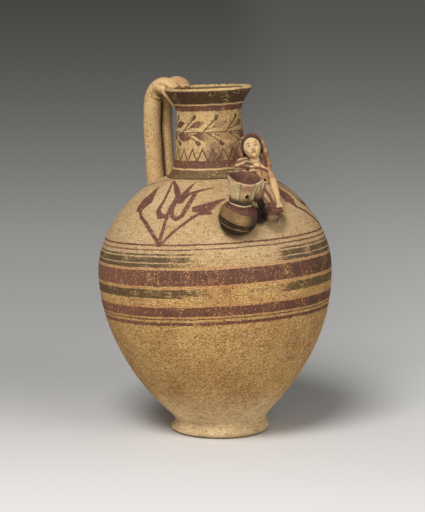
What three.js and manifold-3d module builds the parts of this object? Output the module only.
// Painted terracotta jug: a wheel-thrown vessel with a double-roll handle, and on the shoulder
// opposite the handle a hand-modelled woman who holds a small jug that serves as the spout.
// Millimetres, +Z up, +X towards the spout, origin at the centre of the foot's underside.
import * as THREE from "three";
import { mergeVertices } from "three/addons/utils/BufferGeometryUtils.js";
import Module from "manifold-3d";

// Seams between luted pieces
const LUTING_GAP = 0.3;

// Foot
const FOOT_BASE_RADIUS = 46;
const FOOT_FLANGE_RADIUS = 47.2;
const FOOT_FLANGE_HEIGHT = 4;
const FOOT_WAIST_RADIUS = 43.8;
const FOOT_HEIGHT = 12.6;

// Set of the vessel on its foot: it leans towards the handle and stands a little off centre
const LEAN_DEGREES = 3;
const VESSEL_OFFSET = 1.8;

// Body, with heights measured from the foot's seat
const WALL = 6;
const FLOOR = 8;
const BELLY_RADIUS = 111.4;
const BELLY_HEIGHT = 143.6;
const SHOULDER_HEIGHT = 233;

// Neck and rim, with rises measured from the neck's own base
const NECK_BASE_RADIUS = 42.3;
const NECK_LEDGE = 1.6;
const NECK_STEM_RADIUS = 34;
const NECK_STEM_RISE = 22;
const NECK_WAIST_RADIUS = 31;
const NECK_WAIST_RISE = 60;
const NECK_HEIGHT = 84.2;
const NECK_WALL = 4.5;
const RIM_RADIUS = 41.2;
const RIM_LIP = 3.2;

// Roundness of the body: how far its line runs upright at the widest ring, and level below the neck
const BELLY_FULLNESS = 0.613 * BELLY_HEIGHT;
const SHOULDER_FULLNESS = 0.526 * (SHOULDER_HEIGHT - BELLY_HEIGHT);
const SHOULDER_SHELF = (BELLY_RADIUS - NECK_BASE_RADIUS) / 3;

// Handle: two upright rolls of clay, and a broad strap that arches from their tops over the rim
const ROLL_RADIUS = 8.4;
const ROLL_ROOT_REACH = NECK_BASE_RADIUS + 19.2;
const ROLL_REACH = NECK_BASE_RADIUS + 24.2;
const ROLL_TOP_REACH = RIM_RADIUS + 20;
const ROLL_TOP_DROP = 14.1;
const ROLL_TOP = SHOULDER_HEIGHT + LUTING_GAP + NECK_HEIGHT - ROLL_TOP_DROP;
const STRAP_WIDTH = 34;
const STRAP_RISE = 9.6;
const STRAP_THICKNESS = 11.5;
const STRAP_TONGUE = 8;
const STRAP_SETBACK = 2.2;
const STRAP_ROUNDING = 4;
const STRAP_CROWN_REACH = 5;
const STRAP_UNDERSIDE_DROP = 22;

// A stand on the shoulder: its share of the way from the widest ring to the neck, its azimuth in
// degrees, and how far it stands off the surface
const SMALL_JUG_STAND = { share: 0.4287, azimuth: -36.347, standoff: 9.114 };
const FIGURE_STAND = { share: 0.4377, azimuth: -12.672, standoff: -5.172 };

// Small jug, along its own axis from the middle of its belly
const SMALL_BELLY_RADIUS = 17.8;
const SMALL_BELLY_DROP = 17;
const SMALL_BELLY_RISE = 11.5;
const SMALL_NECK_RADIUS = 10.6;
const SMALL_MOUTH_RADIUS = 16.2;
const SMALL_NECK_LENGTH = 27.5;
const SMALL_WALL = 3;
const SMALL_GRIP_RADIUS = 2.6;
const SMALL_GRIP_TURN_DEGREES = 75;
const SMALL_JUG_TILT_DEGREES = 20;
const SMALL_JUG_TURN_DEGREES = -17;
const SPOUT_BORE = 9;
const SPOUT_BORE_FALL = 72.4;
const SPOUT_BORE_SIDES = 14;

// Woman, along her own upright axis from where she stands on the shoulder
const FIGURE_FACING_DEGREES = -30;
const FIGURE_LEAN_BACK_DEGREES = 20;
const FIGURE_LEAN_SIDE_DEGREES = 5;
const HEAD_TURN_DEGREES = -14;
const SKIRT_RADIUS = 8.4;
const SKIRT_BASE = 3;
const SKIRT_HEIGHT = 14;
const HEM_HEIGHT = 6;
const HEM_FORWARD = 4.5;
const HEM_HALF_WIDTH = 10;
const HEM_HALF_DEPTH = 8.5;
const HEM_HALF_RISE = 9.5;
const WAIST_RADIUS = 7.6;
const CHEST_RADIUS = 8.8;
const CHEST_HEIGHT = 42;
const TORSO_HEIGHT = 53;
const TORSO_BREADTH = 1.18;
const TORSO_DEPTH = 0.84;
const NECK_OF_FIGURE_RADIUS = 4.6;
const HEAD_HEIGHT = 68.5;
const HEAD_WIDTH = 19;
const HEAD_LENGTH = 22;
const MANTLE_THICKNESS = 3.2;
const MANTLE_FALL = 50;
const MANTLE_HALF_DEPTH = 6.5;
const MANTLE_SPREAD = 2.5;
const HOOD_SETBACK = 0.8;
// Features of the face, each an egg of clay: its half widths, then its place forward, across and up
// from the middle of the head
const NOSE = { halves: [1.5, 1.1, 2.7], place: [8.8, 0, -1] };
const MOUTH = { halves: [0.9, 1.9, 0.7], place: [8.3, 0, -5.4] };
const CHIN = { halves: [2.6, 3, 2.4], place: [5.5, 0, -8.2] };
const LEFT_EYE = { halves: [0.9, 1.6, 0.8], place: [7.7, 3.4, 1] };
const RIGHT_EYE = { halves: [0.9, 1.6, 0.8], place: [7.7, -3.4, 1] };
const ARM_RADIUS = 3.4;
const SHOULDER_TUCK = 2.4;
const ELBOW_SPREAD = 4.5;
const SLEEVE_RADIUS = 6;
// Where on the small jug's mouth the right hand holds it, round the small jug's own axis
const HELD_AZIMUTH_DEGREES = 150;

// Fineness of the facets
const VESSEL_SIDES = 40;
const ROLL_SIDES = 12;
const SMALL_SIDES = 22;
const CURVE_STEPS = 9;
const NECK_STEPS = 3;
const TORSO_STEPS = 12;
const SLEEVE_STEPS = 8;
const SMALL_BELLY_STEPS = 4;
const SMALL_NECK_STEPS = 6;
const FEATURE_SIDES = 10;
const BAR_STEPS = 10;

const CLAY = { color: 0xc9a06a, roughness: 0.85, metalness: 0 };
const PALE_CLAY = { color: 0xd6b78a, roughness: 0.85, metalness: 0 };
const RED_PAINT = { color: 0x7d4638, roughness: 0.8, metalness: 0 };

const wasm = await Module();
wasm.setup();

/** A closed geometry as a solid that can be joined and cut. */
function solidOf(geometry) {
  const bare = geometry.clone();
  bare.deleteAttribute("normal");
  bare.deleteAttribute("uv");
  const merged = mergeVertices(bare);
  const corners = merged.index.array;
  const kept = [];
  for (let i = 0; i < corners.length; i += 3) {
    const [a, b, c] = [corners[i], corners[i + 1], corners[i + 2]];
    if (a !== b && b !== c && c !== a) kept.push(a, b, c);
  }
  const vertProperties = new Float32Array(merged.attributes.position.array);
  return new wasm.Manifold(new wasm.Mesh({ numProp: 3, vertProperties, triVerts: new Uint32Array(kept) }));
}

/** A solid as a geometry for a mesh. */
function geometryOf(solid) {
  const { vertProperties, triVerts } = solid.getMesh();
  const geometry = new THREE.BufferGeometry();
  geometry.setAttribute("position", new THREE.BufferAttribute(new Float32Array(vertProperties), 3));
  geometry.setIndex(new THREE.BufferAttribute(new Uint32Array(triVerts), 1));
  geometry.computeVertexNormals();
  return geometry;
}

/** The geometries joined into one closed body. */
function joined(first, ...others) {
  const sum = others.reduce((solid, other) => solid.add(solidOf(other)), solidOf(first));
  return geometryOf(sum);
}

/** The geometry with the shapes of the tools cut away. */
function carved(blank, ...tools) {
  const rest = tools.reduce((solid, tool) => solid.subtract(solidOf(tool)), solidOf(blank));
  return geometryOf(rest);
}

/** A profile of [radius, height] points turned round the Z axis. */
function turned(profile, sides) {
  const points = profile.map(([radius, height]) => new THREE.Vector2(radius, height));
  return new THREE.LatheGeometry(points, sides).rotateX(Math.PI / 2);
}

/** Points along a cubic curve in the profile plane. */
function sweep(start, startHandle, endHandle, end, steps = CURVE_STEPS) {
  const corners = [start, startHandle, endHandle, end].map(([x, y]) => new THREE.Vector2(x, y));
  return new THREE.CubicBezierCurve(...corners).getPoints(steps).map((p) => [p.x, p.y]);
}

/** A rising profile moved sideways off its own line: outwards where the distance is positive. */
function offsetProfile(profile, distance) {
  return profile.map(([radius, height], i) => {
    const [r0, h0] = profile[Math.max(i - 1, 0)];
    const [r1, h1] = profile[Math.min(i + 1, profile.length - 1)];
    const length = Math.hypot(r1 - r0, h1 - h0);
    return [radius + (distance * (h1 - h0)) / length, height - (distance * (r1 - r0)) / length];
  });
}

/** A round bar of one thickness along a curve. */
function bar(curve, radius, sides, steps) {
  const section = new THREE.Shape();
  section.absarc(0, 0, radius, 0, 2 * Math.PI);
  return new THREE.ExtrudeGeometry(section, { steps, curveSegments: sides, extrudePath: curve });
}

/** An egg shape with its three half widths. */
function egg(halfX, halfY, halfZ, sides = SMALL_SIDES) {
  return new THREE.SphereGeometry(1, sides, sides / 2).rotateX(Math.PI / 2).scale(halfX, halfY, halfZ);
}

/** The mesh of one named piece. */
function piece(name, geometry, finish) {
  const mesh = new THREE.Mesh(geometry, new THREE.MeshStandardMaterial(finish));
  mesh.name = name;
  return mesh;
}

const LEAN = THREE.MathUtils.degToRad(LEAN_DEGREES);

/** Outer line of the lower body, from the foot's seat to the widest ring. */
function lowerLine() {
  return sweep(
    [FOOT_WAIST_RADIUS, 0],
    [FOOT_WAIST_RADIUS + 1, 6],
    [BELLY_RADIUS, BELLY_HEIGHT - BELLY_FULLNESS],
    [BELLY_RADIUS, BELLY_HEIGHT],
  );
}

const shoulderCurve = new THREE.CubicBezierCurve(
  new THREE.Vector2(BELLY_RADIUS, BELLY_HEIGHT),
  new THREE.Vector2(BELLY_RADIUS, BELLY_HEIGHT + SHOULDER_FULLNESS),
  new THREE.Vector2(NECK_BASE_RADIUS + SHOULDER_SHELF, SHOULDER_HEIGHT - 2),
  new THREE.Vector2(NECK_BASE_RADIUS, SHOULDER_HEIGHT),
);

/** Outer line of the upper body, from the widest ring to the neck's seat. */
function shoulderLine() {
  return shoulderCurve.getPoints(CURVE_STEPS).map((p) => [p.x, p.y]);
}

/** The point in the vessel's frame that a stand on the shoulder means. */
function shoulderPoint({ share, azimuth, standoff }) {
  const foot = shoulderCurve.getPoint(share);
  const along = shoulderCurve.getTangent(share);
  const radius = foot.x + standoff * along.y;
  const angle = THREE.MathUtils.degToRad(azimuth);
  return new THREE.Vector3(radius * Math.cos(angle), radius * Math.sin(angle), foot.y - standoff * along.x);
}

/** Outer line of the neck, from its base to the underside of the lip. */
function neckLine() {
  const base = SHOULDER_HEIGHT + LUTING_GAP;
  const stem = base + NECK_STEM_RISE;
  const waist = base + NECK_WAIST_RISE;
  const lip = base + NECK_HEIGHT - RIM_LIP;
  const middle = (NECK_STEM_RADIUS + NECK_WAIST_RADIUS) / 2;
  const foot = sweep(
    [NECK_BASE_RADIUS - 1, base + NECK_LEDGE],
    [NECK_STEM_RADIUS + 3, base + 5],
    [NECK_STEM_RADIUS + 0.7, base + 12],
    [NECK_STEM_RADIUS, stem],
    NECK_STEPS,
  );
  const stemLine = sweep([NECK_STEM_RADIUS, stem], [middle, stem + 14], [NECK_WAIST_RADIUS, waist - 12],
    [NECK_WAIST_RADIUS, waist], NECK_STEPS);
  const trumpet = sweep([NECK_WAIST_RADIUS, waist], [NECK_WAIST_RADIUS, waist + 8],
    [RIM_RADIUS - 4, lip - 6], [RIM_RADIUS, lip], NECK_STEPS);
  return [...foot, ...stemLine.slice(1), ...trumpet.slice(1)];
}

/** Low foot that spreads to a flange; its top is trimmed to the lean of the vessel. */
function makeFoot() {
  const bodyRise = FOOT_WAIST_RADIUS * Math.tan(LEAN) + 2;
  const blank = turned([
    [0, 0],
    [FOOT_BASE_RADIUS - 1, 0],
    [FOOT_BASE_RADIUS, 0.8],
    [FOOT_FLANGE_RADIUS, FOOT_FLANGE_HEIGHT],
    [FOOT_FLANGE_RADIUS - 0.5, FOOT_FLANGE_HEIGHT + 1.8],
    [FOOT_WAIST_RADIUS + 0.9, FOOT_HEIGHT - 3],
    [FOOT_WAIST_RADIUS, FOOT_HEIGHT - 0.5],
    [FOOT_WAIST_RADIUS, FOOT_HEIGHT + bodyRise],
    [0, FOOT_HEIGHT + bodyRise],
  ], VESSEL_SIDES);
  const slide = new THREE.Matrix4().makeShear(0, 0, 0, 0, VESSEL_OFFSET / FOOT_HEIGHT, 0);
  blank.applyMatrix4(slide);
  const above = new THREE.BoxGeometry(4 * FOOT_WAIST_RADIUS, 4 * FOOT_WAIST_RADIUS, 4 * FOOT_HEIGHT);
  above.translate(0, 0, 2 * FOOT_HEIGHT - LUTING_GAP).rotateY(-LEAN).translate(VESSEL_OFFSET, 0, FOOT_HEIGHT);
  return piece("foot", carved(blank, above), CLAY);
}

/** Lower half of the thrown body, a deep bowl with a floor. */
function makeLowerBody() {
  const inside = offsetProfile(lowerLine(), -WALL).filter(([, height]) => height > FLOOR + 1);
  const lastInside = [BELLY_RADIUS - WALL, BELLY_HEIGHT];
  const profile = [
    [0, 0],
    ...lowerLine(),
    lastInside,
    ...inside.slice(0, -1).reverse(),
    [inside[0][0] - 4, FLOOR],
    [0, FLOOR],
  ];
  return piece("lower_body", turned(profile, VESSEL_SIDES), CLAY);
}

/** Closed outer form of the shoulder with an allowance round it, for trimming what stands on it. */
function shoulderForm(allowance) {
  const line = offsetProfile(shoulderLine(), allowance);
  return turned([[0, BELLY_HEIGHT - 1], ...line, [0, SHOULDER_HEIGHT + allowance]], VESSEL_SIDES);
}

/** Closed outer form of the neck and rim with an allowance round it. */
function neckForm(allowance) {
  const line = offsetProfile(neckLine(), allowance);
  const top = SHOULDER_HEIGHT + LUTING_GAP + NECK_HEIGHT + allowance;
  const [, lineEnd] = line[line.length - 1];
  return turned([
    [0, SHOULDER_HEIGHT - LUTING_GAP],
    [line[0][0] + 1, SHOULDER_HEIGHT - LUTING_GAP],
    ...line,
    [RIM_RADIUS + allowance, lineEnd + 0.5],
    [RIM_RADIUS + allowance, top],
    [0, top],
  ], VESSEL_SIDES);
}

const smallJugPlace = shoulderPoint(SMALL_JUG_STAND);

/** Where a point of the small jug's own frame lies in the vessel's frame. */
const smallJugFrame = new THREE.Matrix4().compose(
  smallJugPlace,
  new THREE.Quaternion().setFromEuler(new THREE.Euler(
    0,
    THREE.MathUtils.degToRad(SMALL_JUG_TILT_DEGREES),
    THREE.MathUtils.degToRad(SMALL_JUG_TURN_DEGREES),
    "ZYX",
  )),
  new THREE.Vector3(1, 1, 1),
);

/** Bore from the small jug's belly through the shoulder, aimed at the vessel's axis. */
function spoutBore() {
  const aim = new THREE.Vector3(0, 0, smallJugPlace.z - SPOUT_BORE_FALL).sub(smallJugPlace).normalize();
  const length = 3 * SMALL_BELLY_DROP;
  const turn = new THREE.Quaternion().setFromUnitVectors(new THREE.Vector3(0, 1, 0), aim);
  const middle = smallJugPlace.clone().addScaledVector(aim, length / 2);
  return new THREE.CylinderGeometry(SPOUT_BORE / 2, SPOUT_BORE / 2, length, SPOUT_BORE_SIDES)
    .applyQuaternion(turn)
    .translate(middle.x, middle.y, middle.z);
}

/** Upper half of the thrown body, from the widest ring to the seat of the neck. */
function makeUpperBody() {
  const bore = NECK_BASE_RADIUS - 2 * NECK_WALL;
  const inside = offsetProfile(shoulderLine(), -WALL);
  const profile = [
    [BELLY_RADIUS - WALL, BELLY_HEIGHT + LUTING_GAP],
    [BELLY_RADIUS, BELLY_HEIGHT + LUTING_GAP],
    ...shoulderLine().slice(1),
    [bore, SHOULDER_HEIGHT],
    [bore, SHOULDER_HEIGHT - WALL],
    ...inside.slice(1, -1).reverse(),
    [BELLY_RADIUS - WALL, BELLY_HEIGHT + LUTING_GAP],
  ];
  return piece("upper_body", carved(turned(profile, VESSEL_SIDES), spoutBore()), CLAY);
}

/** Neck thrown by itself: a ledge at its base, a narrow waist and a trumpet rim. */
function makeNeck() {
  const base = SHOULDER_HEIGHT + LUTING_GAP;
  const top = base + NECK_HEIGHT;
  const outside = neckLine();
  const inside = offsetProfile(outside, -NECK_WALL);
  const profile = [
    [inside[0][0] - 1, base],
    [NECK_BASE_RADIUS, base],
    [NECK_BASE_RADIUS, base + NECK_LEDGE],
    ...outside,
    [RIM_RADIUS + 0.2, top - RIM_LIP / 2],
    [RIM_RADIUS - 0.8, top],
    [RIM_RADIUS - RIM_LIP, top],
    ...inside.slice(1, -1).reverse(),
    [inside[0][0] - 1, base + NECK_LEDGE],
    [inside[0][0] - 1, base],
  ];
  return piece("neck", turned(profile, VESSEL_SIDES), CLAY);
}

/** One of the two upright rolls of the handle; side is 1 on the left of the spout, -1 on its right. */
function makeRoll(name, side) {
  const across = side * (ROLL_RADIUS + LUTING_GAP / 2);
  const at = (reach, height) => new THREE.Vector3(-reach, across, height);
  const rise = ROLL_TOP - SHOULDER_HEIGHT;
  const curve = new THREE.CubicBezierCurve3(
    at(ROLL_ROOT_REACH, SHOULDER_HEIGHT - 15),
    at(ROLL_REACH - 2.5, SHOULDER_HEIGHT + 0.1 * rise),
    at(ROLL_REACH, SHOULDER_HEIGHT + 0.7 * rise),
    at(ROLL_TOP_REACH - 0.6, ROLL_TOP + 3),
  );
  const above = new THREE.BoxGeometry(6 * ROLL_RADIUS, 6 * ROLL_RADIUS, 6 * ROLL_RADIUS)
    .translate(-ROLL_TOP_REACH, across, ROLL_TOP + 3 * ROLL_RADIUS);
  const trimmed = carved(bar(curve, ROLL_RADIUS, ROLL_SIDES, BAR_STEPS), shoulderForm(LUTING_GAP), above);
  return piece(name, trimmed, CLAY);
}

/** Strap of clay that caps both rolls, arches to the rim and is pressed over it and under it. */
function makeStrap() {
  const rimTop = SHOULDER_HEIGHT + LUTING_GAP + NECK_HEIGHT;
  const crown = rimTop + STRAP_RISE;
  const underside = crown - STRAP_THICKNESS;
  const base = ROLL_TOP + LUTING_GAP;
  const outer = ROLL_TOP_REACH + ROLL_RADIUS - STRAP_SETBACK;
  const inner = ROLL_TOP_REACH - ROLL_RADIUS + 2;
  const tongue = RIM_RADIUS - STRAP_TONGUE;
  const outline = new THREE.Shape();
  outline.moveTo(-outer, base);
  outline.bezierCurveTo(
    -outer + 1,
    base + 12,
    -ROLL_TOP_REACH + 2,
    crown - 1,
    -RIM_RADIUS - STRAP_CROWN_REACH,
    crown,
  );
  outline.bezierCurveTo(-RIM_RADIUS + 1, crown, -tongue - 1, crown - 3, -tongue + 1, rimTop + 1.5);
  outline.lineTo(-tongue + 1, rimTop - 2);
  outline.lineTo(-NECK_WAIST_RADIUS + 6, rimTop - STRAP_UNDERSIDE_DROP - 1);
  outline.lineTo(-NECK_WAIST_RADIUS - 1, rimTop - STRAP_UNDERSIDE_DROP + 1);
  outline.bezierCurveTo(-inner + 14, underside - 6, -inner + 7, underside, -inner + 4, underside);
  outline.bezierCurveTo(-inner + 1, underside, -inner, base + 4, -inner, base);
  const width = STRAP_WIDTH - 2 * STRAP_ROUNDING;
  const blank = new THREE.ExtrudeGeometry(outline, {
    depth: width,
    curveSegments: 6,
    bevelThickness: STRAP_ROUNDING,
    bevelSize: STRAP_ROUNDING / 2,
    bevelOffset: -STRAP_ROUNDING / 2,
    bevelSegments: 2,
  });
  blank.rotateX(Math.PI / 2).translate(0, width / 2, 0);
  return piece("handle_strap", carved(blank, neckForm(LUTING_GAP)), CLAY);
}

/** Outer line of the small jug's belly, from its underside to its collar. */
function smallBellyLine() {
  const below = sweep(
    [SMALL_BELLY_RADIUS * 0.35, -SMALL_BELLY_DROP],
    [SMALL_BELLY_RADIUS * 0.8, -SMALL_BELLY_DROP],
    [SMALL_BELLY_RADIUS, -SMALL_BELLY_DROP / 2],
    [SMALL_BELLY_RADIUS, -1],
    SMALL_BELLY_STEPS,
  );
  const above = sweep(
    [SMALL_BELLY_RADIUS, -1],
    [SMALL_BELLY_RADIUS, SMALL_BELLY_RISE / 2],
    [SMALL_NECK_RADIUS + 4, SMALL_BELLY_RISE - 1.2],
    [SMALL_NECK_RADIUS + 0.6, SMALL_BELLY_RISE],
    SMALL_BELLY_STEPS,
  );
  return [...below, ...above.slice(1)];
}

/** Belly of the small jug, hollow, open to its neck above and to the bore towards the vessel. */
function makeSmallJugBody() {
  const outside = smallBellyLine();
  const inside = offsetProfile(outside, -SMALL_WALL);
  const profile = [
    [0, -SMALL_BELLY_DROP],
    ...outside,
    [SMALL_NECK_RADIUS - SMALL_WALL, SMALL_BELLY_RISE],
    ...inside.slice(1, -1).reverse(),
    [0, SMALL_WALL - SMALL_BELLY_DROP],
  ];
  const blank = turned(profile, SMALL_SIDES).applyMatrix4(smallJugFrame);
  const trimmed = carved(blank, shoulderForm(LUTING_GAP), spoutBore());
  return piece("small_jug_body", trimmed.applyMatrix4(smallJugFrame.clone().invert()), PALE_CLAY);
}

/** Outer line of the small jug's neck, from its collar to its mouth. */
function smallNeckLine() {
  const base = SMALL_BELLY_RISE + LUTING_GAP;
  return sweep(
    [SMALL_NECK_RADIUS + 0.6, base],
    [SMALL_NECK_RADIUS - 0.8, base + 6],
    [SMALL_NECK_RADIUS + 2.6, base + 0.7 * SMALL_NECK_LENGTH],
    [SMALL_MOUTH_RADIUS, base + SMALL_NECK_LENGTH - 1],
    SMALL_NECK_STEPS,
  );
}

/** Flaring neck and mouth of the small jug. */
function makeSmallJugNeck() {
  const base = SMALL_BELLY_RISE + LUTING_GAP;
  const mouth = base + SMALL_NECK_LENGTH;
  const outside = smallNeckLine();
  const inside = offsetProfile(outside, -SMALL_WALL);
  const profile = [
    [SMALL_NECK_RADIUS - SMALL_WALL, base],
    ...outside,
    [SMALL_MOUTH_RADIUS - 0.5, mouth],
    [SMALL_MOUTH_RADIUS - SMALL_WALL + 0.6, mouth],
    ...inside.slice(1, -1).reverse(),
    [SMALL_NECK_RADIUS - SMALL_WALL, base],
  ];
  return piece("small_jug_neck", turned(profile, SMALL_SIDES), PALE_CLAY);
}

/** Small loop handle of the small jug, on the woman's side of it. */
function makeSmallJugGrip() {
  const mouth = SMALL_BELLY_RISE + LUTING_GAP + SMALL_NECK_LENGTH;
  const reach = SMALL_MOUTH_RADIUS + 4.5;
  const low = SMALL_BELLY_RISE + 3;
  const curve = new THREE.CubicBezierCurve3(
    new THREE.Vector3(SMALL_MOUTH_RADIUS + 0.8, 0, mouth - 5),
    new THREE.Vector3(reach + 3, 0, mouth - 6),
    new THREE.Vector3(reach + 1.5, 0, low + 6),
    new THREE.Vector3(SMALL_NECK_RADIUS + 2.6, 0, low + 1.5),
  );
  const line = offsetProfile(smallNeckLine(), LUTING_GAP);
  const above = mouth + 1;
  const neck = turned([[0, SMALL_BELLY_RISE], ...line, [SMALL_MOUTH_RADIUS, above], [0, above]], SMALL_SIDES);
  const blank = bar(curve, SMALL_GRIP_RADIUS, FEATURE_SIDES, BAR_STEPS);
  return piece("small_jug_grip", carved(blank, neck), PALE_CLAY);
}

/** Where a point of the woman's own frame lies in the vessel's frame. */
const figureFrame = new THREE.Matrix4().compose(
  shoulderPoint(FIGURE_STAND),
  new THREE.Quaternion().setFromEuler(new THREE.Euler(
    THREE.MathUtils.degToRad(FIGURE_LEAN_SIDE_DEGREES),
    THREE.MathUtils.degToRad(-FIGURE_LEAN_BACK_DEGREES),
    THREE.MathUtils.degToRad(FIGURE_FACING_DEGREES),
    "ZYX",
  )),
  new THREE.Vector3(1, 1, 1),
);

/** Geometry in the woman's frame with a form of the vessel's frame cut away. */
function carvedInFigureFrame(blank, ...tools) {
  const toFigure = figureFrame.clone().invert();
  return carved(blank, ...tools.map((tool) => tool.applyMatrix4(toFigure)));
}

/** Skirt and torso, one tapering roll of clay, with an allowance round it. */
function torsoForm(allowance) {
  const line = [
    [SKIRT_RADIUS, SKIRT_BASE],
    [SKIRT_RADIUS, SKIRT_HEIGHT],
    [WAIST_RADIUS, (SKIRT_HEIGHT + CHEST_HEIGHT) / 2],
    [CHEST_RADIUS, CHEST_HEIGHT],
    [CHEST_RADIUS - 1.2, TORSO_HEIGHT - 5],
    [NECK_OF_FIGURE_RADIUS + 1, TORSO_HEIGHT - 0.8],
  ];
  const curve = new THREE.SplineCurve(line.map(([r, h]) => new THREE.Vector2(r + allowance, h)));
  const profile = curve.getPoints(TORSO_STEPS).map((p) => [p.x, p.y]);
  const torso = turned([[0, SKIRT_BASE], ...profile, [0, TORSO_HEIGHT + allowance]], SMALL_SIDES);
  return torso.scale(TORSO_DEPTH, TORSO_BREADTH, 1);
}

/** Skirt and torso of the woman. */
function makeTorso() {
  return piece("figure_torso", carvedInFigureFrame(torsoForm(0), shoulderForm(LUTING_GAP)), PALE_CLAY);
}

/** Rounded hem of the skirt, the pad of clay that lutes the woman to the shoulder. */
function makeHem(leftArm) {
  const blank = egg(HEM_HALF_DEPTH, HEM_HALF_WIDTH, HEM_HALF_RISE).translate(HEM_FORWARD, 0, HEM_HEIGHT);
  const pad = carvedInFigureFrame(blank, shoulderForm(LUTING_GAP));
  const trimmed = carved(pad, torsoForm(LUTING_GAP), inflated(leftArm.geometry));
  return piece("figure_hem", largestPart(trimmed), RED_PAINT);
}

/** Head and neck of the woman with an allowance round them. */
function headForm(allowance) {
  const half = HEAD_WIDTH / 2 + allowance;
  const skull = egg(half, half, HEAD_LENGTH / 2 + allowance).translate(0, 0, HEAD_HEIGHT);
  const neckBase = TORSO_HEIGHT + LUTING_GAP;
  const neck = new THREE.CylinderGeometry(
    NECK_OF_FIGURE_RADIUS - 0.2 + allowance,
    NECK_OF_FIGURE_RADIUS + allowance,
    HEAD_HEIGHT - neckBase,
    SMALL_SIDES,
  ).rotateX(Math.PI / 2).translate(0, 0, (HEAD_HEIGHT + neckBase) / 2);
  return joined(skull, neck);
}

/** Head of the woman: a plain face of even, general proportions. */
function makeHead() {
  const features = [NOSE, MOUTH, CHIN, LEFT_EYE, RIGHT_EYE].map(({ halves, place }) => (
    egg(...halves, FEATURE_SIDES).translate(...place).translate(0, 0, HEAD_HEIGHT)
  ));
  const turn = THREE.MathUtils.degToRad(HEAD_TURN_DEGREES);
  const head = joined(headForm(0), ...features).rotateZ(turn);
  return piece("figure_head", head, PALE_CLAY);
}

/** Path of the right arm, which ends on the back edge of the small jug's mouth. */
function rightArmCurve(toFigure) {
  const held = new THREE.Vector3(SMALL_MOUTH_RADIUS, 0, SMALL_BELLY_RISE + LUTING_GAP + SMALL_NECK_LENGTH)
    .applyAxisAngle(new THREE.Vector3(0, 0, 1), THREE.MathUtils.degToRad(HELD_AZIMUTH_DEGREES))
    .applyMatrix4(smallJugFrame)
    .applyMatrix4(toFigure);
  return new THREE.QuadraticBezierCurve3(
    new THREE.Vector3(2, -CHEST_RADIUS * TORSO_BREADTH + 3, TORSO_HEIGHT - 2.5),
    new THREE.Vector3(10, -CHEST_RADIUS * TORSO_BREADTH - 9, TORSO_HEIGHT + 3.6),
    held,
  );
}

/** Right arm in its sleeve, cut clear of the torso and the small jug. */
function makeRightArm() {
  const toFigure = figureFrame.clone().invert();
  const jugMouth = turned([
    [0, -SMALL_BELLY_DROP],
    [SMALL_NECK_RADIUS + 2.5, SMALL_BELLY_RISE],
    [SMALL_MOUTH_RADIUS + LUTING_GAP, SMALL_BELLY_RISE + SMALL_NECK_LENGTH - 4],
    [SMALL_MOUTH_RADIUS + LUTING_GAP, SMALL_BELLY_RISE + SMALL_NECK_LENGTH + SMALL_MOUTH_RADIUS],
    [0, SMALL_BELLY_RISE + SMALL_NECK_LENGTH + SMALL_MOUTH_RADIUS],
  ], SMALL_SIDES).applyMatrix4(smallJugFrame).applyMatrix4(toFigure);
  const blank = bar(rightArmCurve(toFigure), SLEEVE_RADIUS, ROLL_SIDES, SLEEVE_STEPS);
  return piece("figure_right_arm", carved(blank, torsoForm(LUTING_GAP), jugMouth), PALE_CLAY);
}

/** Left arm, hanging close to her side, with the hand resting on the front of the hem. */
function makeLeftArm() {
  const side = CHEST_RADIUS * TORSO_BREADTH;
  const curve = new THREE.CubicBezierCurve3(
    new THREE.Vector3(0, side - SHOULDER_TUCK, TORSO_HEIGHT - 6),
    new THREE.Vector3(0, side + ELBOW_SPREAD, TORSO_HEIGHT - 14),
    new THREE.Vector3(1, side + ELBOW_SPREAD - 2, SKIRT_HEIGHT + 12),
    new THREE.Vector3(SKIRT_RADIUS + 0.5, side - SHOULDER_TUCK, SKIRT_HEIGHT - 1.5),
  );
  const blank = bar(curve, ARM_RADIUS, ROLL_SIDES, BAR_STEPS);
  const trimmed = carvedInFigureFrame(blank, shoulderForm(LUTING_GAP));
  return piece("figure_left_arm", carved(trimmed, torsoForm(LUTING_GAP)), PALE_CLAY);
}

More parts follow.
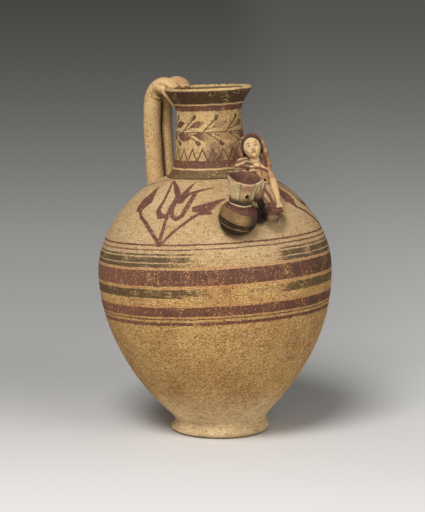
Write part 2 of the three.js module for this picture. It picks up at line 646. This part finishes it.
/** Mantle drawn up over the head as a hood, falling behind to the hem. */
function makeMantle(leftArm, rightArm) {
  const half = HEAD_WIDTH / 2 + MANTLE_THICKNESS;
  const turn = THREE.MathUtils.degToRad(HEAD_TURN_DEGREES);
  const hood = egg(half, half, HEAD_LENGTH / 2 + MANTLE_THICKNESS + 0.6)
    .translate(-HOOD_SETBACK, HOOD_SETBACK, HEAD_HEIGHT);
  const fall = egg(MANTLE_HALF_DEPTH, CHEST_RADIUS * TORSO_BREADTH + MANTLE_SPREAD, MANTLE_FALL / 2 + 4)
    .translate(-MANTLE_HALF_DEPTH, 0.5, HEAD_HEIGHT - MANTLE_FALL / 2);
  const opening = egg(half, HEAD_WIDTH / 2 - 0.2, HEAD_LENGTH / 2 + 0.5)
    .translate(half - 1.5, 0, HEAD_HEIGHT - 0.5)
    .rotateZ(turn);
  const throat = new THREE.BoxGeometry(2 * half, HEAD_WIDTH - 2, HEAD_LENGTH)
    .translate(half, 0, HEAD_HEIGHT - HEAD_LENGTH / 2 - 1)
    .rotateZ(turn);
  const cloak = carved(
    joined(hood, fall), headForm(LUTING_GAP), torsoForm(LUTING_GAP), opening, throat,
    inflated(leftArm.geometry), inflated(rightArm.geometry),
  );
  const trimmed = carvedInFigureFrame(cloak, shoulderForm(LUTING_GAP), neckForm(LUTING_GAP));
  return piece("figure_mantle", largestPart(trimmed), RED_PAINT);
}

/** The geometry swollen by the luting gap along its vertex normals. */
function inflated(geometry) {
  const bare = geometry.clone();
  bare.deleteAttribute("normal");
  const swollen = mergeVertices(bare);
  swollen.computeVertexNormals();
  const { position, normal } = swollen.attributes;
  for (let i = 0; i < position.count; i += 1) {
    position.setXYZ(
      i,
      position.getX(i) + LUTING_GAP * normal.getX(i),
      position.getY(i) + LUTING_GAP * normal.getY(i),
      position.getZ(i) + LUTING_GAP * normal.getZ(i),
    );
  }
  return swollen;
}

/** The largest closed body of a geometry. */
function largestPart(geometry) {
  const parts = solidOf(geometry).decompose();
  parts.sort((a, b) => b.volume() - a.volume());
  return geometryOf(parts[0]);
}

const jug = new THREE.Group();
const vessel = new THREE.Group();
const smallJug = new THREE.Group();
const grip = new THREE.Group();
const woman = new THREE.Group();
const leftArm = makeLeftArm();
const rightArm = makeRightArm();

vessel.position.set(VESSEL_OFFSET, 0, FOOT_HEIGHT);
vessel.rotation.y = -LEAN;
smallJugFrame.decompose(smallJug.position, smallJug.quaternion, smallJug.scale);
figureFrame.decompose(woman.position, woman.quaternion, woman.scale);
grip.rotation.z = THREE.MathUtils.degToRad(SMALL_GRIP_TURN_DEGREES);
grip.add(makeSmallJugGrip());
smallJug.add(makeSmallJugBody(), makeSmallJugNeck(), grip);
woman.add(makeTorso(), makeHem(leftArm), makeHead(), rightArm, leftArm, makeMantle(leftArm, rightArm));
vessel.add(makeLowerBody(), makeUpperBody(), makeNeck(), makeRoll("handle_left_roll", 1),
  makeRoll("handle_right_roll", -1), makeStrap(), smallJug, woman);
jug.add(makeFoot(), vessel);

export default jug;
